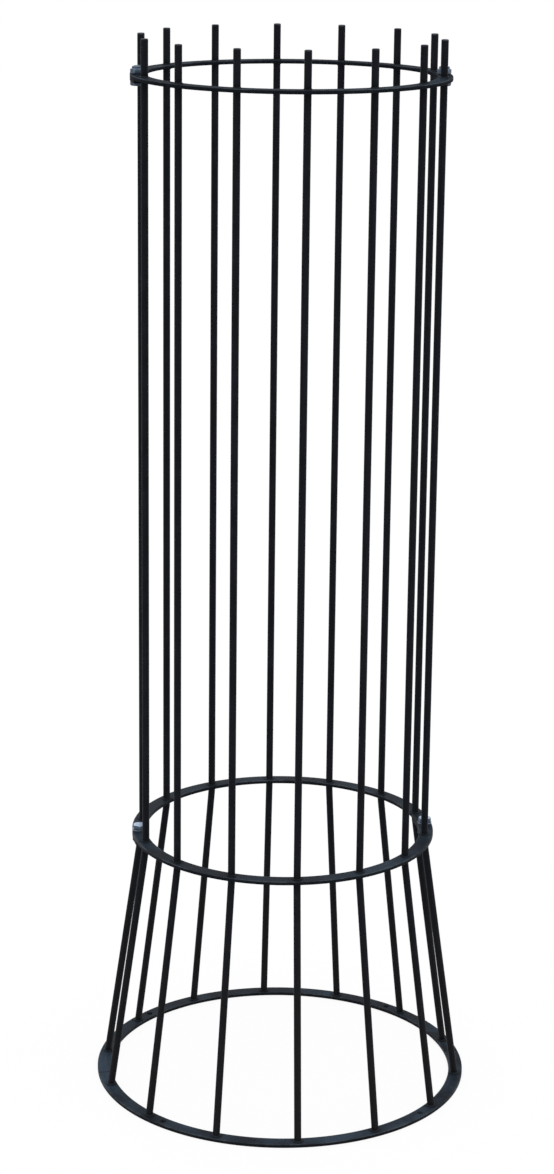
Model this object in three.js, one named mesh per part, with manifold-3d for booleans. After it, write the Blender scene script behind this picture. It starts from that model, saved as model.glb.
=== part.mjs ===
// Metal tree guard: two half cages of round bar and flat bar that close round a trunk and bolt together.
// Millimetres, +Z up. The origin is on the ground at the guard's centre, and the bolted joints lie on X.
// The front half faces -Y. The rear half is the same piece turned half way round.
import * as THREE from "three";
import { mergeVertices } from "three/addons/utils/BufferGeometryUtils.js";
import Module from "manifold-3d";

const wasm = await Module();
wasm.setup();

// The cage as a whole
const guardHeight = 1500;
const barsPerHalf = 7;
const barDiameter = 10;
const barCircleRadius = 205;
const barStandUp = 50;
const middleRingTop = 375;

// Flat bar of the rings, bent lying flat
const flatWidth = 20;
const flatThickness = 5;
const ringOutset = 2;

// Foot of the cage, where the bars are cranked outward
const footSpread = 53;
const footInset = 1;
const crankDrop = 2;
const crankBendRadius = 30;
const pegHoleDiameter = 9;

// Joints between the halves: one half laps over a plate welded under the other
const buttGap = 1;
const boltEdgeDistance = 14;
const plateThickness = 4;
const plateLap = 15;
const plateBarGap = 4;

// Hexagon bolts, self-locking nuts and washers
const boltDiameter = 10;
const hexAcrossFlats = 17;
const hexChamferInset = 0.4;
const headHeight = 6.4;
const nutHexHeight = 7;
const nutCollarHeight = 3;
const nutCollarDiameter = 14.6;
const nutCollarRounding = 1.5;
const washerDiameter = 20;
const washerThickness = 2;
const threadStandOut = 1;

// Fits and cuts
const barClearance = 0.3;
const boltClearance = 0.5;
const threadClearance = 0.3;
const seatGap = 0.3;
const cutOverrun = 10;

// Fineness of the facets
const barSides = 16;
const bendSteps = 6;
const holeSides = 16;
const ringSteps = 44;
const plateSteps = 6;
const turnedSides = 24;
const roundingSteps = 3;

// Radii, heights and angles that follow
const ringRadius = barCircleRadius + ringOutset;
const footRadius = barCircleRadius + footSpread;
const baseRingRadius = footRadius + footInset;
const topRingTop = guardHeight - barStandUp;
const barHoleRadius = barDiameter / 2 + barClearance;
const boltHoleRadius = boltDiameter / 2 + boltClearance;
const nutHeight = nutHexHeight + nutCollarHeight;
const barPitch = Math.PI / barsPerHalf;
const firstBarAngle = barPitch / 2;
const buttAngle = boltEdgeDistance / ringRadius;
const chamferSlope = Math.tan(Math.PI / 6);

// A point at a radius and an angle round Z
function polar(radius, angle) {
  return new THREE.Vector2(radius * Math.cos(angle), radius * Math.sin(angle));
}

function arc(radius, start, end, steps) {
  return Array.from({ length: steps + 1 }, (_, i) => polar(radius, start + ((end - start) * i) / steps));
}

function polygon(radius, sides) {
  return Array.from({ length: sides }, (_, i) => polar(radius, (2 * Math.PI * i) / sides));
}

// A drilled hole whose flats, not its corners, stand at the stated radius
function drilledHole(place, radius) {
  const corners = polygon(radius / Math.cos(Math.PI / holeSides), holeSides);
  return new THREE.Path(corners.map((corner) => corner.add(place)));
}

// A closed geometry as a solid that can be cut and joined, and the solid as a geometry again
function toSolid(geometry) {
  geometry.deleteAttribute("normal");
  geometry.deleteAttribute("uv");
  const merged = mergeVertices(geometry);
  const vertProperties = new Float32Array(merged.attributes.position.array);
  const triVerts = new Uint32Array(merged.index.array);
  return new wasm.Manifold(new wasm.Mesh({ numProp: 3, vertProperties, triVerts }));
}

function toGeometry(solid) {
  const mesh = solid.getMesh();
  const geometry = new THREE.BufferGeometry();
  geometry.setAttribute("position", new THREE.BufferAttribute(mesh.vertProperties, 3));
  geometry.setIndex(new THREE.BufferAttribute(mesh.triVerts, 1));
  geometry.computeVertexNormals();
  return geometry;
}

// A profile of radius and height points turned round Z
function turned(profile) {
  const geometry = new THREE.LatheGeometry(profile, turnedSides);
  return geometry.rotateX(Math.PI / 2);
}

function extruded(shape, depth) {
  return new THREE.ExtrudeGeometry(shape, { depth, bevelEnabled: false });
}

// A bent route for a bar, with its sections only at the stations given
class StationRoute extends THREE.Curve {
  constructor(stations) {
    super();
    this.stations = stations;
  }

  station(share) {
    return this.stations[Math.round(share * (this.stations.length - 1))];
  }

  getPointAt(share, target = new THREE.Vector3()) {
    return target.copy(this.station(share).point);
  }

  getTangentAt(share, target = new THREE.Vector3()) {
    return target.copy(this.station(share).tangent);
  }
}

// The bar's centreline in the plane of X and Z: straight down, round the crank, then out to its foot.
// The lower straight runs from the foot's centre as a tangent to the bend.
function barStations(footHeight) {
  const bendTop = middleRingTop - flatThickness - crankDrop;
  const reach = footSpread - crankBendRadius;
  const drop = bendTop - footHeight;
  const crankAngle = Math.PI - Math.atan2(drop, reach) - Math.acos(crankBendRadius / Math.hypot(reach, drop));
  const stations = [
    { point: new THREE.Vector3(barCircleRadius, 0, guardHeight), tangent: new THREE.Vector3(0, 0, -1) },
  ];
  for (let i = 0; i <= bendSteps; i += 1) {
    const angle = (crankAngle * i) / bendSteps;
    const out = barCircleRadius + crankBendRadius * (1 - Math.cos(angle));
    stations.push({
      point: new THREE.Vector3(out, 0, bendTop - crankBendRadius * Math.sin(angle)),
      tangent: new THREE.Vector3(Math.sin(angle), 0, -Math.cos(angle)),
    });
  }
  const { tangent } = stations.at(-1);
  const foot = new THREE.Vector3(footRadius, 0, footHeight);
  stations.push({ point: foot.addScaledVector(tangent, cutOverrun), tangent });
  return stations;
}

// One cranked bar, its foot sawn level to stand on the base ring
function barGeometry() {
  const footHeight = flatThickness + seatGap;
  const stations = barStations(footHeight);
  const section = new THREE.Shape(polygon(barDiameter / 2, barSides));
  const extrudePath = new StationRoute(stations);
  const bar = toSolid(new THREE.ExtrudeGeometry(section, { steps: stations.length - 1, extrudePath }));
  const groundDepth = 2 * cutOverrun;
  const ground = new THREE.BoxGeometry(2 * (footRadius + flatWidth), 2 * barDiameter, groundDepth);
  ground.translate(0, 0, footHeight - groundDepth / 2);
  return toGeometry(bar.subtract(toSolid(ground)));
}

// A length of flat bar lying flat on the arc from start to end, with holes drilled through it
function flatOnArc(radius, start, end, steps, holes, thickness) {
  const outer = arc(radius + flatWidth / 2, start, end, steps);
  const inner = arc(radius - flatWidth / 2, end, start, steps);
  const shape = new THREE.Shape([...outer, ...inner]);
  shape.holes = holes;
  return extruded(shape, thickness);
}

// The half turn from one butt to the other, less half of the gap at each end
function halfSpan(radius) {
  const halfGap = buttGap / 2 / radius;
  return [Math.PI + buttAngle + halfGap, 2 * Math.PI + buttAngle - halfGap];
}

// The top or middle half ring: a hole for each bar, and one for the bolt in the end that laps
function upperRingGeometry() {
  const holes = [drilledHole(polar(ringRadius, 0), boltHoleRadius)];
  for (let i = 0; i < barsPerHalf; i += 1) {
    const angle = Math.PI + firstBarAngle + barPitch * i;
    holes.push(drilledHole(polar(barCircleRadius, angle), barHoleRadius));
  }
  return flatOnArc(ringRadius, ...halfSpan(ringRadius), ringSteps, holes, flatThickness);
}

// The base half ring, with a ground peg hole in the middle of each quarter turn
function baseRingGeometry() {
  const quarters = [Math.PI * 1.25, Math.PI * 1.75];
  const holes = quarters.map((angle) => drilledHole(polar(baseRingRadius, angle), pegHoleDiameter / 2));
  return flatOnArc(baseRingRadius, ...halfSpan(baseRingRadius), ringSteps, holes, flatThickness);
}

// The plate under a joint, from just past the bolt to just short of the first bar
function plateGeometry() {
  const start = Math.PI - plateLap / ringRadius;
  const end = Math.PI + firstBarAngle - (barHoleRadius + plateBarGap) / ringRadius;
  const holes = [drilledHole(polar(ringRadius, Math.PI), boltHoleRadius)];
  return flatOnArc(ringRadius, start, end, plateSteps, holes, plateThickness);
}

// A hexagon prism whose far corners are turned off at thirty degrees
function chamferedHexagon(height) {
  const cornerRadius = hexAcrossFlats / 2 / Math.cos(Math.PI / 6);
  const faceRadius = hexAcrossFlats / 2 - hexChamferInset;
  const chamferDepth = (cornerRadius - faceRadius) * chamferSlope;
  const blank = toSolid(extruded(new THREE.Shape(polygon(cornerRadius, 6)), height));
  const envelope = turned([
    new THREE.Vector2(0, -cutOverrun),
    new THREE.Vector2(cornerRadius + cutOverrun, -cutOverrun),
    new THREE.Vector2(cornerRadius + cutOverrun, height - chamferDepth - cutOverrun * chamferSlope),
    new THREE.Vector2(faceRadius, height),
    new THREE.Vector2(0, height),
  ]);
  return blank.intersect(toSolid(envelope));
}

// A bolt with the bearing face of its head at height zero and its shank below
function boltGeometry(gripLength) {
  const shankLength = gripLength + nutHeight + threadStandOut;
  const sunk = headHeight / 2;
  const shank = extruded(new THREE.Shape(polygon(boltDiameter / 2, holeSides)), shankLength + sunk);
  shank.translate(0, 0, -shankLength);
  return toGeometry(chamferedHexagon(headHeight).add(toSolid(shank)));
}

// A nut that stands on height zero: hexagon, then the rounded collar that holds the locking ring
function nutGeometry() {
  const collarRadius = nutCollarDiameter / 2;
  const boreRadius = boltDiameter / 2 + threadClearance;
  const rounding = new THREE.Vector2(collarRadius - nutCollarRounding, nutHeight - nutCollarRounding);
  const shoulder = arc(nutCollarRounding, 0, Math.PI / 2, roundingSteps).map((point) => point.add(rounding));
  const collar = turned([
    new THREE.Vector2(0, nutHexHeight / 2),
    new THREE.Vector2(collarRadius, nutHexHeight / 2),
    ...shoulder,
    new THREE.Vector2(0, nutHeight),
  ]);
  const bore = extruded(new THREE.Shape(polygon(boreRadius, holeSides)), nutHeight + 2 * cutOverrun);
  bore.translate(0, 0, -cutOverrun);
  return toGeometry(chamferedHexagon(nutHexHeight).add(toSolid(collar)).subtract(toSolid(bore)));
}

function washerGeometry() {
  const corners = [
    new THREE.Vector2(boltHoleRadius, 0),
    new THREE.Vector2(washerDiameter / 2, 0),
    new THREE.Vector2(washerDiameter / 2, washerThickness),
    new THREE.Vector2(boltHoleRadius, washerThickness),
  ];
  return turned([...corners, corners[0].clone()]);
}

// Finishes: satin black powder coat on the cage, bright zinc on the fasteners
function powderCoat() {
  return new THREE.MeshStandardMaterial({ color: 0x20252b, roughness: 0.45, metalness: 0.1 });
}

function zincPlate() {
  return new THREE.MeshStandardMaterial({ color: 0x8f9cab, roughness: 0.35, metalness: 0.9 });
}

function named(name, geometry, material) {
  const mesh = new THREE.Mesh(geometry, material);
  mesh.name = name;
  return mesh;
}

const cageShapes = {
  bar: barGeometry(),
  upperRing: upperRingGeometry(),
  baseRing: baseRingGeometry(),
  plate: plateGeometry(),
};

// One half cage as the front half, with the joint plates under its left ends
function halfCage(half, plateSide) {
  const cage = new THREE.Group();
  for (let i = 0; i < barsPerHalf; i += 1) {
    const bar = named(`${half}_bar_${i + 1}`, cageShapes.bar, powderCoat());
    bar.rotation.z = Math.PI + firstBarAngle + barPitch * i;
    cage.add(bar);
  }
  cage.add(named(`${half}_base_ring`, cageShapes.baseRing, powderCoat()));
  for (const [level, ringTop] of [["middle", middleRingTop], ["top", topRingTop]]) {
    const ring = named(`${half}_${level}_ring`, cageShapes.upperRing, powderCoat());
    ring.position.z = ringTop - flatThickness;
    const plate = named(`${level}_${plateSide}_plate`, cageShapes.plate, powderCoat());
    plate.position.z = ringTop - flatThickness - seatGap - plateThickness;
    cage.add(ring, plate);
  }
  return cage;
}

// Faces of the clamped stack, from the top of the ring to the underside of the plate
const clampedStack = flatThickness + seatGap + plateThickness;

// Middle joint: head and washer on top of the ring, nut below, flats of the head facing outward
function middleFasteners(side, x) {
  const gripLength = seatGap + washerThickness + seatGap + clampedStack + seatGap;
  const washer = named(`middle_${side}_washer`, washerGeometry(), zincPlate());
  washer.position.set(x, 0, middleRingTop + seatGap);
  const bolt = named(`middle_${side}_bolt`, boltGeometry(gripLength), zincPlate());
  bolt.position.set(x, 0, washer.position.z + washerThickness + seatGap);
  bolt.rotation.z = Math.PI / 6;
  const nut = named(`middle_${side}_nut`, nutGeometry(), zincPlate());
  nut.position.set(x, 0, middleRingTop - clampedStack - seatGap);
  nut.rotation.x = Math.PI;
  return [washer, bolt, nut];
}

// Top joint: head under the plate, nut on top of the ring, corners facing outward
function topFasteners(side, x) {
  const bolt = named(`top_${side}_bolt`, boltGeometry(seatGap + clampedStack + seatGap), zincPlate());
  bolt.position.set(x, 0, topRingTop - clampedStack - seatGap);
  bolt.rotation.x = Math.PI;
  const nut = named(`top_${side}_nut`, nutGeometry(), zincPlate());
  nut.position.set(x, 0, topRingTop + seatGap);
  return [bolt, nut];
}

const guard = new THREE.Group();
const rearHalf = halfCage("rear", "right");
rearHalf.rotation.z = Math.PI;
guard.add(halfCage("front", "left"), rearHalf);
for (const [side, x] of [["left", -ringRadius], ["right", ringRadius]]) {
  guard.add(...middleFasteners(side, x), ...topFasteners(side, x));
}

export default guard;
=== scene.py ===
# Metal tree guard: the coated cage, its welds and its zinc fasteners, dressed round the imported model.
# Metres, +Z up. The origin is on the ground at the guard's centre and the bolted joints lie on X.
import math

import bmesh
import bpy
import numpy as np
from mathutils import Matrix, Vector


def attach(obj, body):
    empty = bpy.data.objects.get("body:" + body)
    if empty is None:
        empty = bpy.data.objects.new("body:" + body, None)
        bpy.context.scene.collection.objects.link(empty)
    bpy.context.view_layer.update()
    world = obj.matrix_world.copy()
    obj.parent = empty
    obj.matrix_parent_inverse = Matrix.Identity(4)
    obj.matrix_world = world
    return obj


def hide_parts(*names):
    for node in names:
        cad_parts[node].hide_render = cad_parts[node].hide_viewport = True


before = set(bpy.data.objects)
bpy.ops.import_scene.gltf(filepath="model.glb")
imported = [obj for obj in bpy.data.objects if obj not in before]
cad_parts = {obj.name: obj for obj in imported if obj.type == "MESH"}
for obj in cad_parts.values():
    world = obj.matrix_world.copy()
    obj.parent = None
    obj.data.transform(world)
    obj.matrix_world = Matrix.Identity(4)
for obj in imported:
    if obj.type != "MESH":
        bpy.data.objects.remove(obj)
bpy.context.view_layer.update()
print("packed model loaded:", len(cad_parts), "nodes")

cage = {
    "height": 1.500,
    "barsPerHalf": 7,
    "barCircle": 0.205,
    "barRadius": 0.005,
    "ringRadius": 0.207,
    "flatWidth": 0.020,
    "flatThickness": 0.005,
    "middleTop": 0.375,
    "topTop": 1.450,
    "baseTop": 0.005,
    "baseRadius": 0.259,
    "footRadius": 0.258,
}
barPitch = math.pi / cage["barsPerHalf"]
halves = {"front": math.pi, "rear": 0.0}  # the angle at which each half cage starts
barAngles = (np.arange(cage["barsPerHalf"]) + 0.5) * barPitch


# Meshes
# A patch is a pair: points, and faces that count from its own first point.

mergeDistance = 2e-6
evenDustAndSheen = 0.4  # how much dust and painted sheen lies on the coat everywhere


def roundSteps(count):
    return np.linspace(0, 2 * np.pi, count, endpoint=False)


def quarterSteps(count):
    return np.linspace(0, np.pi / 2, count + 1)


# Bell curve: exp(-(distance / width) squared).
def bell(distance, width):
    return np.exp(-(distance / width) ** 2)


def stackPoints(x, y, z):
    return np.stack(np.broadcast_arrays(x, y, z), -1)


# A grid of rows by columns as points and quads; with closedRound the last column meets the first.
def gridPatch(points, closedRound=True):
    rows, columns = points.shape[:2]
    steps = columns if closedRound else columns - 1
    row, column = np.meshgrid(np.arange(rows - 1), np.arange(steps), indexing="ij")
    nextColumn = (column + 1) % columns
    corners = [row * columns + column, row * columns + nextColumn,
               (row + 1) * columns + nextColumn, (row + 1) * columns + column]
    return points.reshape(-1, 3), np.stack(corners, -1).reshape(-1, 4)


def turnPatch(patch, angle):
    points, faces = patch
    c, s = math.cos(angle), math.sin(angle)
    return points @ np.array([[c, s, 0], [-s, c, 0], [0, 0, 1]]), faces


def addObject(name, data):
    made = bpy.data.objects.new(name, data)
    bpy.context.scene.collection.objects.link(made)
    return made


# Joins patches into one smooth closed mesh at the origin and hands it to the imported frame.
def makePiece(name, patches, material, nodes=()):
    starts = np.cumsum([0] + [len(points) for points, _ in patches])
    points = np.concatenate([points for points, _ in patches])
    faces = np.concatenate([faces + start for (_, faces), start in zip(patches, starts)])
    mesh = bpy.data.meshes.new(name)
    mesh.vertices.add(len(points))
    mesh.vertices.foreach_set("co", points.astype(np.float32).ravel())
    mesh.loops.add(faces.size)
    mesh.loops.foreach_set("vertex_index", faces.astype(np.int32).ravel())
    mesh.polygons.add(len(faces))
    mesh.polygons.foreach_set("loop_start", np.arange(0, faces.size, 4, dtype=np.int32))
    mesh.update(calc_edges=True)
    tidy = bmesh.new()
    tidy.from_mesh(mesh)
    bmesh.ops.remove_doubles(tidy, verts=tidy.verts, dist=mergeDistance)
    bmesh.ops.recalc_face_normals(tidy, faces=tidy.faces)
    tidy.to_mesh(mesh)
    tidy.free()
    mesh.shade_smooth()
    mesh.materials.append(material)
    piece = addObject(name, mesh)
    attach(piece, "root")
    if nodes:
        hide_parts(*nodes)
    return piece


def meshPoints(piece):
    points = np.empty(len(piece.data.vertices) * 3, np.float32)
    piece.data.vertices.foreach_get("co", points)
    return points.reshape(-1, 3)


# Distance from an upright axis, given by its own radius and angle.
def fromAxis(points, radius=0.0, angle=0.0):
    return np.hypot(points[:, 0] - radius * math.cos(angle), points[:, 1] - radius * math.sin(angle))


# Stores a value from 0 to 1 at each point: wear with painted highlight where it is lighter, grime with
# painted shade where it is darker, and dust with painted sheen.
def paintPoints(piece, label, values):
    layer = piece.data.attributes.new(label, "FLOAT", "POINT")
    layer.data.foreach_set("value", np.clip(values, 0, 1).astype(np.float32))


# Dust and painted sheen lie evenly, and for each stretch a bell curve of the angle round the axis adds or
# takes some away.
def paintDustAndSheen(piece, stretches=()):
    points = meshPoints(piece)
    angle = np.degrees(np.arctan2(points[:, 1], points[:, 0]))
    dustAndSheenShare = np.full(len(points), evenDustAndSheen)
    for centre, spread, amount in stretches:
        dustAndSheenShare += amount * bell((angle - centre + 180) % 360 - 180, spread)
    paintPoints(piece, "dustAndSheen", dustAndSheenShare)


# Materials

# A short way to add a node with values and links.
def nodeTree(tree):
    def add(kind, inputs=None, **settings):
        node = tree.nodes.new(kind)
        for key, value in settings.items():
            setattr(node, key, value)
        for key, value in (inputs or {}).items():
            if isinstance(value, bpy.types.NodeSocket):
                tree.links.new(value, node.inputs[key])
            else:
                node.inputs[key].default_value = value
        return node
    return add


# Turns on and empties the nodes of a material or a world.
def emptyNodes(owner):
    owner.use_nodes = True
    owner.node_tree.nodes.clear()
    return nodeTree(owner.node_tree)


# A group that takes a finish's colours and numbers and puts out colour, roughness and normal. Handed back
# with it are its way to add nodes, what it takes, and a point's place.
def newGroup(name, finish):
    group = bpy.data.node_groups.new(name, "ShaderNodeTree")
    for label, value in finish.items():
        kind = "NodeSocketColor" if isinstance(value, tuple) else "NodeSocketFloat"
        group.interface.new_socket(name=label, in_out="INPUT", socket_type=kind).default_value = value
    for label, kind in (("Colour", "Color"), ("Roughness", "Float"), ("Normal", "Vector")):
        group.interface.new_socket(name=label, in_out="OUTPUT", socket_type="NodeSocket" + kind)
    add = nodeTree(group)
    return group, add, add("NodeGroupInput").outputs, add("ShaderNodeTexCoord").outputs["Object"]


# Links what the group puts out; its relief, in metres, becomes a bump of the strength given.
def closeGroup(group, add, colour, rough, relief, strength):
    bump = add("ShaderNodeBump", {"Height": relief, "Strength": strength, "Distance": 1.0})
    add("NodeGroupOutput", {"Colour": colour, "Roughness": rough, "Normal": bump.outputs[0]})
    return group


def mathNode(add, operation, first, second=0.0, clamp=False):
    node = add("ShaderNodeMath", {0: first, 1: second}, operation=operation, use_clamp=clamp)
    return node.outputs[0]


def total(add, first, second, clamp=False):
    return mathNode(add, "ADD", first, second, clamp)


def product(add, value, *factors, clamp=False):
    for factor in factors:
        value = mathNode(add, "MULTIPLY", value, factor, clamp)
    return value


# factor * value + offset
def scaled(add, value, factor, offset):
    return add("ShaderNodeMath", {0: value, 1: factor, 2: offset}, operation="MULTIPLY_ADD").outputs[0]


# 0 below low, 1 above high, smooth between.
def ramp(add, value, low, high):
    node = add("ShaderNodeMapRange", {"Value": value, "From Min": low, "From Max": high},
               interpolation_type="SMOOTHSTEP")
    return node.outputs["Result"]


# factor * ramp + offset
def scaledRamp(add, value, low, high, factor, offset):
    return scaled(add, ramp(add, value, low, high), factor, offset)


def mixColour(add, share, first, second):
    return add("ShaderNodeMix", {0: share, 6: first, 7: second}, data_type="RGBA").outputs[2]


def noise(add, vector, scale, detail, roughness):
    inputs = {"Vector": vector, "Scale": scale, "Detail": detail, "Roughness": roughness}
    return add("ShaderNodeTexNoise", inputs).outputs["Fac"]


def stretchedPlace(add, place, scale, rotation=(0.0, 0.0, 0.0)):
    return add("ShaderNodeMapping", {"Vector": place, "Scale": scale, "Rotation": rotation}).outputs[0]


def splitVector(add, vector):
    return add("ShaderNodeSeparateXYZ", {0: vector}).outputs


# How far a face looks up, from 0 to 1 between the two values of its normal's Z.
def facingUp(add, low, high):
    return ramp(add, splitVector(add, add("ShaderNodeNewGeometry").outputs["Normal"])["Z"], low, high)


def painted(add, label):
    return add("ShaderNodeAttribute", attribute_name=label).outputs["Fac"]


blackCoat = {
    "Coat": (0.0115, 0.0132, 0.0180, 1),
    "Dust": (0.0340, 0.0520, 0.0760, 1),
    "Rubbed": (0.078, 0.090, 0.106, 1),
    "Soil": (0.0165, 0.0158, 0.0156, 1),
    "Grime": (0.0040, 0.0045, 0.0055, 1),
    "Dustiness": 1.0,
    "Gloss break": 0.12,
    "Roughness": 0.42,
    "Peel": 0.55,
    "Scuffs": 0.25,
}
# Three numbers are a noise: cells to a metre, detail and roughness. Pairs are the ends of a ramp, or a factor
# and an offset, and four numbers are both.
coatMarks = {
    "patches": (17.0, 3.0, 0.55),
    "clouds": (38.0, 4.0, 0.6),
    "mottle": (170.0, 4.0, 0.6),
    "grain": (900.0, 3.0, 0.65),
    "peel": (420.0, 2.0, 0.4),
    "streaks": (420.0, 3.0, 0.55),
    "drawn": (330.0, 3.0, 0.6),
    "hairlines": (260.0, 2.0, 0.5),
    "tone": (1.1, 0.01),
    "streakTone": 0.8,
    "streakScale": (1.0, 1.0, 0.045),
    "drawnScale": 0.012,  # metres of pattern to a radian
    "hairlineScale": (1.0, 0.30, 0.020),
    "hairlineTurn": (0.05, 0.03, 0.7),
    "hairlineWidth": (0.010, 0.0),
    "hairlinePlaces": (0.52, 0.66),
    "facesUp": (0.25, 0.95),
    "nearGround": (0.42, 0.10),  # heights
    "dustAndSheenInPatches": (2.4, -1.38),
    "dustAndSheenLow": (0.50, 0.70),
    "dustAndSheenDrawn": (0.36, 0.66, 0.55, 0.72),
    "dustAndSheenGrain": (0.30, 0.72, 0.40, 0.80),
    "dustAndSheenRough": 0.10,
    "dropCells": 150.0,
    "dropUneven": 0.25,
    "dropSize": (0.42, 0.22),
    "dropChance": (0.50, 0.95),
    "dropTone": 0.22,
    "splashStreaks": (0.5, 0.3),
    "splashUp": (-0.8, 1.0),
    "wornAndLitMottle": (0.36, 0.62, 0.6, 0.4),
    "wornAndLitPatches": (0.42, 0.60, 1.2, 0.40),
    "grimeAndShadeMottle": (0.9, 0.45),
    "grimeAndShadeRough": 0.20,
    "peelHeight": 0.00006,
    "grainHeight": 0.000012,
    "hairlineHeight": -0.000010,
}


# Cured powder coat: orange peel and a cloudy tone, dust with painted sheen and dried rain spots on faces that
# look up, earth splashed on the lowest part, dirt with painted shade at the welds, hairline scuffs and paler
# edges, worn and with painted highlight.
def powderCoatGroup():
    group, add, values, place = newGroup("powderCoat", blackCoat)
    marks = coatMarks
    apart = splitVector(add, place)
    wearAndPaintedLight, grimeAndShade, dustAndSheen = (painted(add, label) for label in ("wearAndPaintedLight", "grimeAndShade", "dustAndSheen"))
    upward = facingUp(add, *marks["facesUp"])
    low = ramp(add, apart["Z"], *marks["nearGround"])
    patches, clouds, mottle, grain, peel = (
        noise(add, place, *marks[key]) for key in ("patches", "clouds", "mottle", "grain", "peel"))
    # streaks and hairlines run down the bars, so their patterns are drawn out along the height
    streaks = noise(add, stretchedPlace(add, place, marks["streakScale"]), *marks["streaks"])
    slanted = stretchedPlace(add, place, marks["hairlineScale"], marks["hairlineTurn"])
    offLine = mathNode(add, "ABSOLUTE", total(add, noise(add, slanted, *marks["hairlines"]), -0.5))
    hairline = product(add, ramp(add, offLine, *marks["hairlineWidth"]),
                       ramp(add, clouds, *marks["hairlinePlaces"]), scaled(add, upward, -1.0, 1.0))
    # the rings were drawn through rolls, so their streaks follow the arc: angle and distance from the axis
    turned = mathNode(add, "ABSOLUTE", mathNode(add, "ARCTAN2", apart["Y"], apart["X"]))
    flatPlace = add("ShaderNodeCombineXYZ", {"X": apart["X"], "Y": apart["Y"]}).outputs[0]
    outward = add("ShaderNodeVectorMath", {0: flatPlace}, operation="LENGTH").outputs["Value"]
    alongArc = add("ShaderNodeCombineXYZ", {
        "X": outward, "Y": product(add, turned, marks["drawnScale"]), "Z": apart["Z"]}).outputs[0]
    drawn = noise(add, alongArc, *marks["drawn"])

    uneven = total(add, clouds, product(add, streaks, marks["streakTone"]))
    coloured = add("ShaderNodeVectorMath", {
        0: values["Coat"], "Scale": scaled(add, uneven, *marks["tone"])}, operation="SCALE").outputs[0]
    # dust and painted sheen: faces that look up are mixed towards a paler blue, partly dust and partly a
    # painted sheen of the sky
    thick = total(add, scaled(add, patches, *marks["dustAndSheenInPatches"]), dustAndSheen)
    settledDustAndSheen = product(
        add, product(add, upward, thick, clamp=True), scaled(add, low, *marks["dustAndSheenLow"]),
        scaledRamp(add, drawn, *marks["dustAndSheenDrawn"]), scaledRamp(add, grain, *marks["dustAndSheenGrain"]))
    settledDustAndSheen = product(add, settledDustAndSheen, values["Dustiness"], clamp=True)
    coloured = mixColour(add, settledDustAndSheen, coloured, values["Dust"])
    # rain drops dry to soft pale spots, in some of the cells and none alike
    cells = add("ShaderNodeTexVoronoi", {"Vector": place, "Scale": marks["dropCells"]}).outputs
    chance = splitVector(add, cells["Color"])
    fromMiddle = total(add, cells["Distance"], product(add, chance["Y"], marks["dropUneven"]))
    spots = product(add, ramp(add, fromMiddle, *marks["dropSize"]),
                    ramp(add, chance["X"], *marks["dropChance"]), product(add, upward, marks["dropTone"]))
    coloured = mixColour(add, spots, coloured, values["Rubbed"])
    splashed = product(add, low, scaled(add, streaks, *marks["splashStreaks"]),
                       scaled(add, upward, *marks["splashUp"]))
    coloured = mixColour(add, splashed, coloured, values["Soil"])
    coloured = mixColour(add, product(add, hairline, values["Scuffs"]), coloured, values["Rubbed"])
    # wear and painted light: the label pales the coat, as wear, as a painted highlight along edges and as
    # painted light in the shaded peg holes
    wornAndLit = product(add, wearAndPaintedLight, scaledRamp(add, mottle, *marks["wornAndLitMottle"]))
    wornAndLit = product(add, wornAndLit, scaledRamp(add, patches, *marks["wornAndLitPatches"]), clamp=True)
    coloured = mixColour(add, wornAndLit, coloured, values["Rubbed"])
    # grime and painted shade: the coat darkens by the label, as dirt and as the shade at feet, joints and
    # welds
    darkened = product(add, grimeAndShade, scaled(add, mottle, *marks["grimeAndShadeMottle"]), clamp=True)
    coloured = mixColour(add, darkened, coloured, values["Grime"])

    rough = scaled(add, clouds, values["Gloss break"], values["Roughness"])
    rough = total(add, rough, product(add, settledDustAndSheen, marks["dustAndSheenRough"]))
    rough = total(add, rough, product(add, darkened, marks["grimeAndShadeRough"]), clamp=True)
    relief = total(add, product(add, peel, marks["peelHeight"]), product(add, grain, marks["grainHeight"]))
    relief = total(add, relief, product(add, hairline, marks["hairlineHeight"]))
    return closeGroup(group, add, coloured, rough, relief, values["Peel"])


dullZinc = {
    "Plate": (0.076, 0.108, 0.152, 1),
    "Dull": (0.042, 0.058, 0.078, 1),
    # the next colour is a painted highlight for faces that look up
    "Bloom": (0.402, 0.474, 0.579, 1),
    "Grime": (0.012, 0.012, 0.013, 1),
    "Roughness": 0.33,
    "Relief": 0.6,
}
zincMarks = {
    "clouds": (170.0, 4.0, 0.6),
    "freckles": (700.0, 2.0, 0.5),
    "lines": (320.0, 3.0, 0.6),
    "lineScale": (1.0, 1.0, 9.0),
    "freckleRamp": (0.58, 0.70),
    "freckleDull": 0.35,
    "cloudDull": 0.6,
    "facesUp": (0.80, 1.0),
    "paintedHighlightClouds": (0.7, 0.55),
    "wearAndLightBright": 0.22,
    "grimeAndShadeTone": 0.8,
    "cloudRough": 0.22,
    "freckleRough": 0.12,
    "lineHeight": 0.00003,
    "cloudHeight": 0.00005,
}


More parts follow.
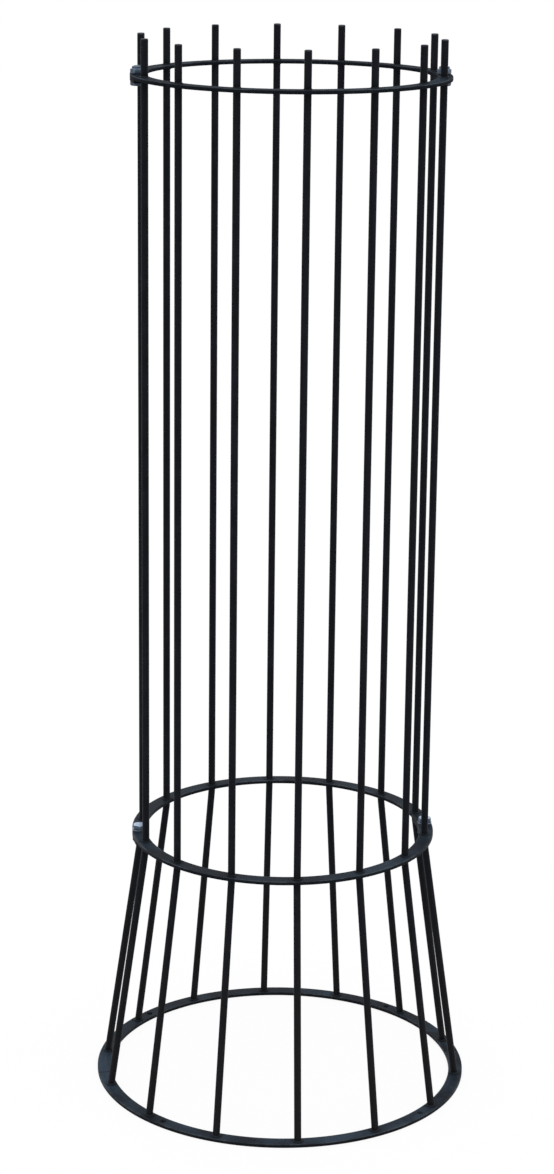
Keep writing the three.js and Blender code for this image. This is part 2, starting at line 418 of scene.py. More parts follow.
# Zinc plate: crystal clouds, rolled lines and dull freckles, a painted highlight on faces that look up,
# and corners that a spanner has brightened, with washer rims given a painted highlight the same way.
def zincGroup():
    group, add, values, place = newGroup("zincPlate", dullZinc)
    marks = zincMarks
    clouds = noise(add, place, *marks["clouds"])
    freckles = ramp(add, noise(add, place, *marks["freckles"]), *marks["freckleRamp"])
    lines = noise(add, stretchedPlace(add, place, marks["lineScale"]), *marks["lines"])
    dull = scaled(add, freckles, marks["freckleDull"], product(add, clouds, marks["cloudDull"]))
    coloured = mixColour(add, dull, values["Plate"], values["Dull"])
    upward = facingUp(add, *marks["facesUp"])
    # painted highlight: faces that look up are mixed towards a pale blue, as if lit from above
    paintedHighlight = product(add, upward, scaled(add, clouds, *marks["paintedHighlightClouds"]), clamp=True)
    # the wear label brightens spanner-worn corners and gives washer rims a painted highlight
    bright = mathNode(add, "MAXIMUM", paintedHighlight, product(add, painted(add, "wearAndPaintedLight"), marks["wearAndLightBright"]))
    coloured = mixColour(add, bright, coloured, values["Bloom"])
    # grime and painted shade: the zinc darkens at its foot on the flat and all over under the flats
    darkened = product(add, painted(add, "grimeAndShade"), marks["grimeAndShadeTone"])
    coloured = mixColour(add, darkened, coloured, values["Grime"])
    rough = scaled(add, clouds, marks["cloudRough"], values["Roughness"])
    rough = total(add, rough, product(add, freckles, marks["freckleRough"]), clamp=True)
    relief = total(add, product(add, lines, marks["lineHeight"]), product(add, clouds, marks["cloudHeight"]))
    return closeGroup(group, add, coloured, rough, relief, values["Relief"])


paleNylon = {
    "Milk": (0.42, 0.43, 0.44, 1),
    "Shade": (0.30, 0.31, 0.32, 1),
    "Roughness": 0.38,
    "Relief": 0.5,
}
nylonMarks = {
    "clouds": (500.0, 3.0, 0.6),
    "grain": (2400.0, 2.0, 0.5),
    "cloudRamp": (0.3, 0.7),
    "grainRough": 0.2,
    "grainHeight": 0.00002,
}


# Moulded nylon: milky clouds and a fine grain.
def nylonGroup():
    group, add, values, place = newGroup("mouldedNylon", paleNylon)
    marks = nylonMarks
    clouds, grain = (noise(add, place, *marks[key]) for key in ("clouds", "grain"))
    coloured = mixColour(add, ramp(add, clouds, *marks["cloudRamp"]), values["Milk"], values["Shade"])
    rough = scaled(add, grain, marks["grainRough"], values["Roughness"])
    relief = product(add, grain, marks["grainHeight"])
    return closeGroup(group, add, coloured, rough, relief, values["Relief"])


# A material that places a finish group with its own values and feeds the Principled shader.
def finishMaterial(name, group, values, specular=0.5, metallic=0.0):
    material = bpy.data.materials.new(name)
    add = emptyNodes(material)
    finish = add("ShaderNodeGroup", values, node_tree=group).outputs
    surface = add("ShaderNodeBsdfPrincipled", {
        "Base Color": finish["Colour"], "Roughness": finish["Roughness"], "Normal": finish["Normal"],
        "Specular IOR Level": specular, "Metallic": metallic})
    add("ShaderNodeOutputMaterial", {"Surface": surface.outputs[0]})
    return material


ringFinish = {**blackCoat, "Coat": (0.0095, 0.0120, 0.0170, 1), "Soil": (0.0135, 0.0145, 0.0175, 1)}
# painted light: the top ring gets a lighter copy of the ring coat, with almost no sheen, for how light falls
# on it
topRingLitFinish = {**ringFinish, "Coat": (0.0122, 0.0152, 0.0210, 1)}
weldFinish = {**ringFinish, "Peel": 1.0, "Roughness": 0.34, "Scuffs": 0.0}
coatGroup = powderCoatGroup()
barCoat = finishMaterial("barCoat", coatGroup, blackCoat, specular=0.05)
ringCoat = finishMaterial("ringCoat", coatGroup, ringFinish, specular=0.026)
topRingLitCoat = finishMaterial("topRingLitCoat", coatGroup, topRingLitFinish, specular=0.003)
weldCoat = finishMaterial("weldCoat", coatGroup, weldFinish, specular=0.08)
zinc = finishMaterial("zinc", zincGroup(), dullZinc, metallic=1.0)
nylon = finishMaterial("nylon", nylonGroup(), paleNylon, specular=0.4)
print("finishes mixed")


# Upright bars

bars = {
    "sides": 48,
    "topRounding": 0.0013,
    "topSteps": 6,
    "bendRadius": 0.030,
    "bendTop": 0.368,
    "bendSteps": 18,
    "straightStep": 0.030,
    "footLevel": 0.00505,
    "rimBand": 0.0009,
    "rimFade": 0.0008,
    "paintedShadeRise": 0.004,
    "paintedShadeDepth": 0.8,
    "ringsOverFlat": (-1.3, 0.0, 0.5, 1.0, 1.5, 2.2),  # in heights of the painted shade band
    "ringsOverFoot": (0.4, 0.8, 1.3, 2.0),
}


# Angle of the crank: the lower straight runs as a tangent from the bend to the foot's centre.
def crankAngle():
    reach = cage["footRadius"] - cage["barCircle"] - bars["bendRadius"]
    drop = bars["bendTop"] - bars["footLevel"]
    return math.pi - math.atan2(drop, reach) - math.acos(bars["bendRadius"] / math.hypot(reach, drop))


# Centreline in the plane of X and Z as arrays: place and direction at each ring of points, with extra
# rings just above the top flat and the foot, where the painted shade fades out along the bar.
def barRoute():
    bend = crankAngle()
    top = cage["height"] - bars["topRounding"]
    count = int((top - bars["bendTop"]) / bars["straightStep"])
    upper = np.linspace(top, bars["bendTop"], count, endpoint=False)
    overFlat = cage["topTop"] + bars["paintedShadeRise"] * np.array(bars["ringsOverFlat"])
    upper = np.sort(np.concatenate([upper, overFlat, [top - bars["rimFade"]]]))[::-1]
    turn = np.linspace(0, bend, bars["bendSteps"] + 1)
    bendX = cage["barCircle"] + bars["bendRadius"] * (1 - np.cos(turn))
    bendZ = bars["bendTop"] - bars["bendRadius"] * np.sin(turn)
    share = np.linspace(0, 1, int(bendZ[-1] / bars["straightStep"]) + 1)[1:]
    overFoot = 1 - bars["paintedShadeRise"] / bendZ[-1] * np.array(bars["ringsOverFoot"])
    share = np.sort(np.concatenate([share, overFoot]))
    lowerX = bendX[-1] + (cage["footRadius"] - bendX[-1]) * share
    lowerZ = bendZ[-1] + (bars["footLevel"] - bendZ[-1]) * share
    x = np.concatenate([np.full(len(upper), cage["barCircle"]), bendX, lowerX])
    z = np.concatenate([upper, bendZ, lowerZ])
    lean = np.concatenate([np.zeros(len(upper)), turn, np.full(len(share), bend)])
    return x, z, lean


# A circle carried along the centreline, its top edge rounded over and its foot sawn level.
def barPatch(angle):
    around = roundSteps(bars["sides"])
    x, z, lean = (values[:, None] for values in barRoute())
    radius = cage["barRadius"]
    across = radius * np.cos(around)
    px, pz = x + across * np.cos(lean), z + across * np.sin(lean)
    # the last ring slides along the bar until it lies level
    slide = (bars["footLevel"] - pz[-1]) / -math.cos(lean[-1, 0])
    px[-1] += slide * math.sin(lean[-1, 0])
    pz[-1] = bars["footLevel"]
    rounding = bars["topRounding"]
    quarter = quarterSteps(bars["topSteps"])[:-1]
    capRadius = np.concatenate([[0, radius / 2], radius - rounding + rounding * np.sin(quarter)])[:, None]
    capTop = cage["height"] - rounding + rounding * np.cos(quarter)
    capZ = np.concatenate([[cage["height"], cage["height"]], capTop])[:, None]
    cap = stackPoints(cage["barCircle"] + capRadius * np.cos(around), capRadius * np.sin(around), capZ)
    shaft = stackPoints(px, radius * np.sin(around), pz)
    centre = np.broadcast_to([cage["footRadius"], 0, bars["footLevel"]], (1, len(around), 3))
    return turnPatch(gridPatch(np.concatenate([cap, shaft, centre])), angle)


# Wear on the rim of the sawn top, and painted shade where the bar leaves the top of each flat.
def paintBar(bar, angle):
    points = meshPoints(bar)
    onRim = bell(fromAxis(points, cage["barCircle"], angle) - cage["barRadius"], bars["rimBand"])
    atTop = points[:, 2] > cage["height"] - bars["topRounding"] - bars["rimFade"] / 2
    paintPoints(bar, "wearAndPaintedLight", np.where(atTop, onRim, 0))
    # painted shade: the bar is darkened just above each flat, where it leaves it
    rises = (points[:, 2] - cage[level] for level in ("baseTop", "middleTop", "topTop"))
    darkened = sum(np.where(rise > -cage["flatThickness"], bell(rise, bars["paintedShadeRise"]), 0) for rise in rises)
    paintPoints(bar, "grimeAndShade", darkened * bars["paintedShadeDepth"])
    paintDustAndSheen(bar)


def makeBars():
    for half, start in halves.items():
        for index, angle in enumerate(barAngles + start, 1):
            bar = makePiece(f"{half}Bar{index}", [barPatch(angle)], barCoat, [f"{half}_bar_{index}"])
            paintBar(bar, angle)
    print("bars made:", 2 * cage["barsPerHalf"])


makeBars()


# Flat bar of the rings and of the joint plates

flats = {
    "edgeRounding": 0.0007,
    "roundingSteps": 5,
    "holeRounding": 0.0003,
    "holeRoundingSteps": 3,
    "holeRows": (1, 0.93, 0.6, 0.3, 0.08),  # from the cell's border to the hole's edge
    "support": 0.0004,
    "cellReach": 0.11,
    "alongStep": 0.004,
    "acrossSteps": 14,
    "holeSideSteps": 20,
    "leastCell": 1e-6,
    "fit": 0.00001,
    "edgeWearAndHighlight": {"middle": 1.0, "top": 1.0, "base": 0.8, "plate": 0.5},
    "edgeWearAndHighlights": (("outer", 1.3, 0.00065), ("inner", 0.9, 0.0009), ("outer", 0.03, 0.0035)),
    "holePaintedLight": 0.6,
    "paintedShadeReach": 0.0028,
}


def polarPoints(angle, radius, height):
    return stackPoints(radius * np.cos(angle), radius * np.sin(angle), height)


# The four sides of a cell in turn, as rows of angle and radius.
def cellSides(angles, radii):
    sides = ((angles, radii[-1]), (angles[-1], radii[::-1]), (angles[::-1], radii[0]), (angles[0], radii))
    return [np.stack(np.broadcast_arrays(*side)) for side in sides]


# Face under and over a drilled cell and the hole's wall, as one grid round the hole.
# Each column runs from the cell's border to the hole along a straight line in angle and radius.
def holeCell(angles, radii, hole, bottom, top):
    holeAngle, holeCentre, holeRadius = hole
    left, right, inner, outer = angles[0], angles[-1], radii[0], radii[-1]
    borderAngle, borderRadius = np.concatenate([side[:, :-1] for side in cellSides(angles, radii)], axis=1)
    alongSpan = np.where(borderAngle > holeAngle, right - holeAngle, holeAngle - left)
    acrossSpan = np.where(borderRadius > holeCentre, outer - holeCentre, holeCentre - inner)
    turn = np.arctan2((borderRadius - holeCentre) / acrossSpan, (borderAngle - holeAngle) / alongSpan)
    soft = flats["holeRounding"]
    quarter = quarterSteps(flats["holeRoundingSteps"])
    reach = np.array(flats["holeRows"])
    level = np.ones(len(reach))
    share = np.concatenate([reach, np.zeros(len(quarter) * 2), reach[::-1]])
    edge = holeRadius + soft * (1 - np.sin(quarter))
    rim = np.concatenate([level * (holeRadius + soft), edge, edge[::-1], level * (holeRadius + soft)])
    rise = soft * (1 - np.cos(quarter))
    height = np.concatenate([level * bottom, bottom + rise, top - rise[::-1], level * top])
    share, rim, height = (values[:, None] for values in (share, rim, height))
    outward, sideways = holeCentre + rim * np.sin(turn), rim * np.cos(turn)
    rimAngle, rimRadius = holeAngle + np.arctan2(sideways, outward), np.hypot(sideways, outward)
    angle = rimAngle + (borderAngle - rimAngle) * share
    return gridPatch(polarPoints(angle, rimRadius + (borderRadius - rimRadius) * share, height))


# The rounded edge, carried once round the flat: out over the top edge, down the wall and back in.
def edgeStrip(angles, radii, bottom, top):
    soft = flats["edgeRounding"]
    corner = quarterSteps(flats["roundingSteps"])
    columns = []
    for turns, side in enumerate(cellSides(angles, radii)):
        start = turns * np.pi / 2
        columns.append(np.vstack([side[:, :-1], np.full(side.shape[1] - 1, start)]))
        columns.append(np.vstack([np.repeat(side[:, -1:], len(corner) - 1, axis=1), start + corner[:-1]]))
    angle, radius, facing = np.concatenate(columns, axis=1)
    wall = np.array([soft + flats["support"], (top - bottom) / 2, top - bottom - soft - flats["support"]])
    out, down = soft * np.sin(corner), soft * (1 - np.cos(corner))
    out = np.concatenate([out, np.full_like(wall, soft), out[::-1]])[:, None]
    down = np.concatenate([down, wall, top - bottom - down[::-1]])[:, None]
    radial, along = out * np.cos(facing), out * np.sin(facing)
    x = (radius + radial) * np.cos(angle) - along * np.sin(angle)
    y = (radius + radial) * np.sin(angle) + along * np.cos(angle)
    return gridPatch(stackPoints(x, y, top - down))


# A flat bar lying on an arc, drilled: faces in cells, holes in theirs, and one strip for the edge.
def flatPatches(radius, start, end, bottom, top, holes):
    soft = flats["edgeRounding"]
    half = cage["flatWidth"] / 2 - flats["fit"] - soft
    inner, outer = radius - half, radius + half
    # a close pair of rows at each edge keeps the faces flat in the light
    inside = np.linspace(inner + flats["support"], outer - flats["support"], flats["acrossSteps"] - 1)
    radii = np.concatenate([[inner], inside, [outer]])
    first, last = start + soft / radius, end - soft / radius
    reach = flats["cellReach"] * cage["ringRadius"] / radius
    edges, contents = [first], [None]
    for number, hole in enumerate(holes):
        limit = last if number + 1 == len(holes) else (hole[0] + holes[number + 1][0]) / 2
        edges += [max(edges[-1], hole[0] - reach), min(limit, hole[0] + reach)]
        contents += [hole, None]
    patches, samples = [], []
    for left, right, hole in zip(edges, edges[1:] + [last], contents):
        if right < left + flats["leastCell"]:
            continue
        plainSteps = max(2, math.ceil((right - left) * radius / flats["alongStep"]))
        angles = np.linspace(left, right, (flats["holeSideSteps"] if hole else plainSteps) + 1)
        samples.append(angles[:-1])
        if hole:
            patches.append(holeCell(angles, radii, hole, bottom, top))
        else:
            faces = (polarPoints(angles, radii[:, None], level) for level in (bottom, top))
            patches += [gridPatch(face, closedRound=False) for face in faces]
    angles = np.concatenate(samples + [[last]])
    return patches + [edgeStrip(angles, radii, bottom, top)]


# Wear and painted highlight along the top edges of a flat, most at the outer one with a faint band across the
# face, and painted light on the shaded walls of the peg holes.
def paintEdges(piece, radius, top, strength, holes=()):
    points = meshPoints(piece)
    out = fromAxis(points) - radius
    below = points[:, 2] - top
    half = cage["flatWidth"] / 2
    away = {"outer": np.hypot(out - half, below), "inner": np.hypot(out + half, below)}
    wearAndPaintedLight = strength * sum(amount * bell(away[edge], reach) for edge, amount, reach in flats["edgeWearAndHighlights"])
    for angle, centre, holeRadius in holes:
        soft = flats["holeRounding"] / 2
        inside = (fromAxis(points, centre, angle) < holeRadius + soft) & (below < -soft)
        wearAndPaintedLight = np.where(inside, flats["holePaintedLight"], wearAndPaintedLight)
    paintPoints(piece, "wearAndPaintedLight", wearAndPaintedLight)


# Painted shade round each bar that stands on a flat or goes through it.
def paintBarMarks(piece, circle, start):
    points = meshPoints(piece)
    feet = circle * np.stack([np.cos(barAngles + start), np.sin(barAngles + start)], -1)
    away = np.hypot(*(points[:, None, :2] - feet[None]).transpose(2, 0, 1)).min(1) - cage["barRadius"]
    paintPoints(piece, "grimeAndShade", bell(np.maximum(away, 0), flats["paintedShadeReach"]))


# Stretches of dust and painted sheen: centre and spread in degrees from +X towards +Y, and the amount.
dustAndSheenStretches = {
    "top": ((180, 32, -0.38), (8, 26, -0.38), (270, 50, 0.25)),
    "middle": ((305, 17, 0.60), (122, 6, 0.30), (80, 25, -0.15), (150, 14, -0.15), (182, 12, 0.20),
               (260, 12, -0.22), (350, 14, 0.35)),
    "base": ((180, 14, 0.55), (231, 7, 0.20), (264, 14, 0.25), (287, 7, 0.60), (311, 7, 0.25),
             (100, 40, -0.14)),
}
joints = {
    "buttFromBolt": 0.014,
    "buttGap": 0.001,
    "barHole": 0.0053,
    "boltHole": 0.0055,
    "pegHole": 0.0045,
    "pegPlaces": (0.25, 0.75),  # shares of a half ring
    "plateThickness": 0.0042,
    "platePastBolt": 0.015,
    "plateToBar": 0.0093,
    "plateSeat": 0.0051,
    "seatGap": 0.00005,
}


def makeRings():
    butt = joints["buttFromBolt"] / cage["ringRadius"]
    for half, start in halves.items():
        drilled = [(start + angle, cage["barCircle"], joints["barHole"]) for angle in barAngles]
        drilled.append((start + math.pi, cage["ringRadius"], joints["boltHole"]))
        pegHoles = [
            (start + share * math.pi, cage["baseRadius"], joints["pegHole"]) for share in joints["pegPlaces"]]
        for level, coat, radius, circle, holes, holesWithPaintedLight in (
                ("middle", ringCoat, cage["ringRadius"], cage["barCircle"], drilled, ()),
                ("top", topRingLitCoat, cage["ringRadius"], cage["barCircle"], drilled, ()),
                ("base", ringCoat, cage["baseRadius"], cage["footRadius"], pegHoles, pegHoles)):
            top = cage[level + "Top"]
            gap = joints["buttGap"] / 2 / radius
            first, last = start + butt + gap, start + math.pi + butt - gap
            patches = flatPatches(radius, first, last, top - cage["flatThickness"], top, holes)
            ring = makePiece(f"{half}{level.title()}Ring", patches, coat, [f"{half}_{level}_ring"])
            paintEdges(ring, radius, top, flats["edgeWearAndHighlight"][level], holesWithPaintedLight)
            paintDustAndSheen(ring, dustAndSheenStretches[level])
            paintBarMarks(ring, circle, start)
    print("rings made")


def makePlates():
    radius = cage["ringRadius"]
    for side, start in (("left", math.pi), ("right", 0.0)):
        first = start - joints["platePastBolt"] / radius
        last = start + barPitch / 2 - joints["plateToBar"] / radius
        for level, coat in (("middle", ringCoat), ("top", topRingLitCoat)):
            top = cage[level + "Top"] - joints["plateSeat"]
            under = top - joints["plateThickness"]
            patches = flatPatches(radius, first, last, under, top, [(start, radius, joints["boltHole"])])
            name = f"{level}{side.title()}Plate"
            plate = makePiece(name, patches, coat, [f"{level}_{side}_plate"])
            paintEdges(plate, radius, under, flats["edgeWearAndHighlight"]["plate"])
    print("joint plates made")


makeRings()
makePlates()


# Welds

welds = {
    "sides": 96,
    "topLeg": 0.0013,
    "underLeg": 0.0013,
    "footLeg": 0.0019,
    "plateLeg": 0.0022,
    "embed": 0.0005,
    "sectionSteps": 7,
    "bulge": 0.12,
    "waveSum": 1.8,
    "unevenness": 0.16,
    "ripples": 15,
    "rippleHeight": 0.11,
    "seamSteps": 60,
    "seamRipples": 11,
    "seamLeg": (0.92, 0.1),  # between the ripples, and what a ripple adds
    "seamEnds": 8,  # the higher, the blunter
    "grimeAndShade": 0.6,
}
weldRandom = np.random.default_rng(7)


# Section of a fillet, as shares of its leg out along the flat and up the bar: a bulged triangle whose
# hidden corner is sunk in both pieces. Its first point closes it.
def filletSection(leg):
    across = np.linspace(0, 1, welds["sectionSteps"])
    bulge = welds["bulge"] * np.sin(np.pi * across)
    embed = np.full_like(leg, -welds["embed"])
    out = [leg] + [leg * share for share in 1 - across + bulge] + [embed, embed]
    up = [embed] + [leg * share for share in across + bulge] + [leg, embed]
    return np.stack(out + out[:1]), np.stack(up + up[:1])


# A fillet round a bar where it meets a flat: its legs swell and shrink slowly round the bar, with a
# quicker ripple of frozen drops, and it leans with the bar.
def collarWeld(centre, lean, leg, side):
    around = roundSteps(welds["sides"])
    phases = weldRandom.uniform(0, 2 * np.pi, 4)
    waves = (np.sin(count * around + phase) / count for count, phase in zip((1, 2, 3), phases))
    slow = sum(waves) / welds["waveSum"]
    ripple = np.abs(np.sin(welds["ripples"] / 2 * around + phases[3]))
    out, up = filletSection(leg * (1 + welds["unevenness"] * slow + welds["rippleHeight"] * ripple))
    ring = cage["barRadius"] + out
    x = centre[0] + ring * np.cos(around) - lean * up * side
    return gridPatch(stackPoints(x, ring * np.sin(around), centre[1] + up * side))


# The seam across a joint plate's end: the same fillet carried along a straight line, ends drawn to nothing.
def plateWeld(angle, under):
    along = np.linspace(0, 1, welds["seamSteps"])
    ripple = np.abs(np.sin(np.pi * welds["seamRipples"] * along + weldRandom.uniform(0, np.pi)))
    ends = np.sqrt(np.clip(1 - (2 * along - 1) ** welds["seamEnds"], 0, 1))
    least, added = welds["seamLeg"]
    out, down = filletSection(welds["plateLeg"] * ends * (least + added * ripple))
    reach = cage["flatWidth"] / 2 - 2 * flats["edgeRounding"]
    x = cage["ringRadius"] + reach * (2 * along - 1)
    rows = stackPoints(x, out, under - down).transpose(1, 0, 2)
    tips = np.broadcast_to(rows[[0, -1]].mean(1, keepdims=True), rows[[0, -1]].shape)
    return turnPatch(gridPatch(np.concatenate([tips[:1], rows, tips[1:]]), closedRound=False), angle)


def makeWelds():
    lean = math.tan(crankAngle())
    plateEnd = barPitch / 2 - joints["plateToBar"] / cage["ringRadius"]
    for half, start in halves.items():
        for level in ("middle", "top", "base"):
            top, under = cage[level + "Top"], cage[level + "Top"] - cage["flatThickness"]
            sites = [((cage["barCircle"], top), 0.0, welds["topLeg"], 1),
                     ((cage["barCircle"], under), 0.0, welds["underLeg"], -1)]
            if level == "base":
                sites = [((cage["footRadius"], top), lean, welds["footLeg"], 1)]
            patches = [turnPatch(collarWeld(*site), angle) for angle in barAngles + start for site in sites]
            if level != "base":
                patches.append(plateWeld(start + plateEnd, under))
            weld = makePiece(f"{half}{level.title()}Welds", patches, weldCoat)
            # painted shade: every weld is darkened throughout, as the shade in its fillets
            paintPoints(weld, "grimeAndShade", np.full(len(weld.data.vertices), welds["grimeAndShade"]))
            paintDustAndSheen(weld)
    print("welds laid")


makeWelds()


# Fasteners

hexagon = {
    "columnsPerFlat": 20,
    "sharpness": 56,
    "crowding": 1.8,
    "acrossFlats": 0.017,
    "chamferInset": 0.0004,
    "ease": 0.00015,
    "sideRows": (0.08, 0.18, 0.35),  # shares of the way up a flat
    "cornerWear": 0.0004,
    "footPaintedShade": (0.4, 0.0006),  # amount and reach
    "paintedShadeBelow": 0.45,
}
bolts = {
    "radius": 0.0050,
    "faceRadius": 0.0078,
    "faceHeight": 0.0004,
    "faceEase": (0.0002, 0.0001),
    "headHeight": 0.0064,
    "crownRadii": (0.0060, 0.0035, 0),
    "pointRadii": (0, 0.0020, 0.0040),
    "runOut": (0.0043, 0.0004),
    "plainShank": 0.0004,
    "threadStart": 0.001,
    "pitch": 0.0015,
    "depth": 0.0009,
    "stepsPerTurn": 8,
    "stretch": 1.25,
    "standOut": 0.001,
}
# Rows here are steps in or out, then up or down, from the corner that they ease.
nuts = {
    "hexHeight": 0.0070,
    "height": 0.0100,
    "boreClearance": 0.0003,
    "boreChamfer": (0.0006, 0.0004),
    "collarRadius": 0.0073,
    "rounding": 0.0009,
    "roundingSteps": 8,
    "collarRows": ((0.00015, 0), (0.00005, 0.00005), (0, 0.0003)),
    "lipRadius": 0.0063,
    "lipRows": ((0.00015, 0.00003), (0, 0.0002)),
    "grooveRadius": 0.0067,
    "insertTop": 0.0097,
    "insertFit": 0.0001,
    "insertRows": ((0.0001, 0.0001), (0.0006, 0.00008)),
    "biteRows": ((0.0005, 0.0001), (0.0001, 0.0003), (0, 0.0006)),
}
washers = {
    "radius": 0.010,
    "bore": 0.0055,
    "thickness": 0.0022,
    "rounding": 0.0003,
    "roundingSteps": 4,
    "support": 0.0004,
    "ease": 0.0002,
    "sides": 96,
    "rimBand": 0.0005,
    "rimWidth": 0.0004,
    "dullness": 0.6,
    "underPaintedShade": (0.2, 0.0003),
}


# Angles round a hexagon with corners on X, crowded towards the corners, and the radius at each: half the
# width over a high-power mean of the six flats' cosines, so the corners are rounded.
def hexColumns():
    share = np.linspace(-1, 1, hexagon["columnsPerFlat"], endpoint=False)
    offset = np.sign(share) * (1 - (1 - np.abs(share)) ** hexagon["crowding"]) * np.pi / 6
    flatsAt = (np.arange(6) + 0.5) * np.pi / 3
    angles = (flatsAt[:, None] + offset[None, :]).ravel()
    power = hexagon["sharpness"]
    cosines = np.clip(np.cos(angles[:, None] - flatsAt[None, :]), 0, 1)
    return angles, hexagon["acrossFlats"] / 2 / (cosines ** power).sum(1) ** (1 / power)


# Rows out of the underside of a hexagon, up its flats, close together at the foot, where the painted shade
# fades, and in over a thirty-degree chamfer.
def hexSides(hexRadius, bottom, top, chamferBottom):
    inner = hexagon["acrossFlats"] / 2 - hexagon["chamferInset"]
    drop = (hexRadius - inner) * math.tan(math.pi / 6)
    ease = hexagon["ease"]
    low = [(hexRadius - ease * 3, bottom), (hexRadius - ease, bottom), (hexRadius, bottom + ease),
           (hexRadius, bottom + ease * 3)]
    if chamferBottom:
        low = [(inner - ease * 3, bottom), (inner, bottom), (hexRadius - ease, bottom + drop),
               (hexRadius, bottom + drop + ease)]
    high = [(hexRadius, top - drop - ease), (hexRadius - ease, top - drop), (inner, top), (inner - ease, top),
            (inner - ease * 4, top)]
    foot, rise = low[-1][1], high[0][1] - low[-1][1]
    side = [(hexRadius, foot + rise * share) for share in hexagon["sideRows"]]
    return low + side + high


# Rows turned round an upright axis and set in place, upside down with flip. A row is a radius and a height,
# each the same all round or an array.
def rowsPatch(angles, rows, place, turn=0.0, flip=False):
    radius, height = (np.stack([np.broadcast_to(value, angles.shape) for value in values])
                      for values in zip(*rows))
    around = angles + turn
    x, y = place[0] + radius * np.cos(around), place[1] + radius * np.sin(around)
    return gridPatch(stackPoints(x, y, place[2] + height * (-1 if flip else 1)))


# Bolt with its head's bearing face at zero: below it the shank, threaded by a clipped wave of height less
# angle; above it the washer face and the chamfered hexagon.
def boltRows(angles, hexRadius, shankLength):
    pitch, depth, radius = bolts["pitch"], bolts["depth"], bolts["radius"]
    runOutRadius, runOutLength = bolts["runOut"]
    point = [(pointRadius, -shankLength) for pointRadius in bolts["pointRadii"]]
    point.append((runOutRadius, -shankLength + runOutLength))
    start, end = -shankLength + bolts["threadStart"], -bolts["plainShank"]
    heights = np.arange(start, end, pitch / bolts["stepsPerTurn"])
    wave = np.abs(((heights[:, None] / pitch - angles / (2 * np.pi)) % 1) * 2 - 1)
    stretch = bolts["stretch"]
    groove = np.clip(wave * stretch - (stretch - 1) / 2, 0, 1)
    thread = [(radius - depth * line, height) for line, height in zip(groove, heights)]
    faceRadius, faceHeight, headHeight = bolts["faceRadius"], bolts["faceHeight"], bolts["headHeight"]
    inward, upward = bolts["faceEase"]
    neck = [(radius, -inward), (radius, 0), (faceRadius - inward, 0), (faceRadius, upward),
            (faceRadius, faceHeight)]
    head = hexSides(hexRadius, faceHeight, headHeight, False)
    crown = [(crownRadius, headHeight) for crownRadius in bolts["crownRadii"]]
    return point + thread + neck + head + crown


# Locking nut standing on its bearing face: bore, chamfered hexagon, rounded collar, and the lip rolled in
# over the nylon ring's groove.
def nutRows(hexRadius):
    hexTop, top = nuts["hexHeight"], nuts["height"]
    bore = bolts["radius"] + nuts["boreClearance"]
    collar, soft = nuts["collarRadius"], nuts["rounding"]
    groove, lip, insertTop = nuts["grooveRadius"], nuts["lipRadius"], nuts["insertTop"]
    outward, upward = nuts["boreChamfer"]
    start = [(bore, upward), (bore + outward, 0)]
    body = hexSides(hexRadius, 0.0, hexTop, True)
    quarter = quarterSteps(nuts["roundingSteps"])
    above = [(collar + out, hexTop + up) for out, up in nuts["collarRows"]]
    above += zip(collar - soft + soft * np.cos(quarter), top - soft + soft * np.sin(quarter))
    above += [(lip + out, top - down) for out, down in nuts["lipRows"]]
    above += [(lip, insertTop), (groove, insertTop), (groove, hexTop), (bore, hexTop)]
    return start + body + above + start[:1]


# The nylon ring in the nut's groove: a rounded band whose bore the thread has bitten into.
def insertRows():
    fit, low, high = nuts["insertFit"], nuts["hexHeight"], nuts["insertTop"]
    outer, inner = nuts["grooveRadius"], bolts["radius"] - fit
    rows = [(outer - fit, low + fit)]
    rows += [(outer - inward, high - down) for inward, down in nuts["insertRows"]]
    rows += [(inner + outward, high - down) for outward, down in nuts["biteRows"]]
    return rows + [(inner, low + fit)] + rows[:1]


# A punched washer: a flat ring whose outer edges are quarter circles.
def washerPatch(place):
    inner, outer, thick = washers["bore"], washers["radius"], washers["thickness"]
    soft, ease = washers["rounding"], washers["ease"]
    flatEnd = outer - soft - washers["support"]
    quarter = quarterSteps(washers["roundingSteps"])
    easedOut, easedUp = outer - soft + soft * np.sin(quarter), soft * (1 - np.cos(quarter))
    rows = [(inner, thick / 2), (inner, ease), (inner + ease, 0), (flatEnd, 0), *zip(easedOut, easedUp),
            *zip(easedOut[::-1], (thick - easedUp)[::-1]), (flatEnd, thick), (inner + ease, thick),
            (inner, thick - ease)]
    return rowsPatch(roundSteps(washers["sides"]), rows + rows[:1], place)


# A washer's rim gets a painted highlight, its face has dulled round the head, and painted shade darkens its
# foot.
def paintWasher(washer, place):
    points = meshPoints(washer) - np.array(place)
    fromRim = washers["radius"] - fromAxis(points)
    paintPoints(washer, "wearAndPaintedLight", bell(fromRim, washers["rimBand"]))
    amount, reach = washers["underPaintedShade"]
    darkShare = np.where(fromRim > washers["rimWidth"], washers["dullness"], 0)
    paintPoints(washer, "grimeAndShade", darkShare + amount * bell(points[:, 2], reach))


# Spanner wear on a hexagon's corners and painted shade where its face meets the flat; a fastener under the
# flats is darkened all over with painted shade.
def paintHexagon(piece, place, below):
    points = meshPoints(piece) - np.array(place)
    corner = hexagon["acrossFlats"] / 2 / math.cos(math.pi / 6)
    paintPoints(piece, "wearAndPaintedLight", bell(fromAxis(points) - corner, hexagon["cornerWear"]))
    amount, reach = hexagon["footPaintedShade"]
    darkShare = hexagon["paintedShadeBelow"] if below else 0.0
    paintPoints(piece, "grimeAndShade", darkShare + amount * bell(points[:, 2], reach))


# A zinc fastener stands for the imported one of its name; the nylon insert is extra.
def makeFastener(level, side, kind, patch):
    name = f"{level}{side.title()}{kind.title()}"
    if kind == "insert":
        return makePiece(name, [patch], nylon)
    return makePiece(name, [patch], zinc, [f"{level}_{side}_{kind}"])


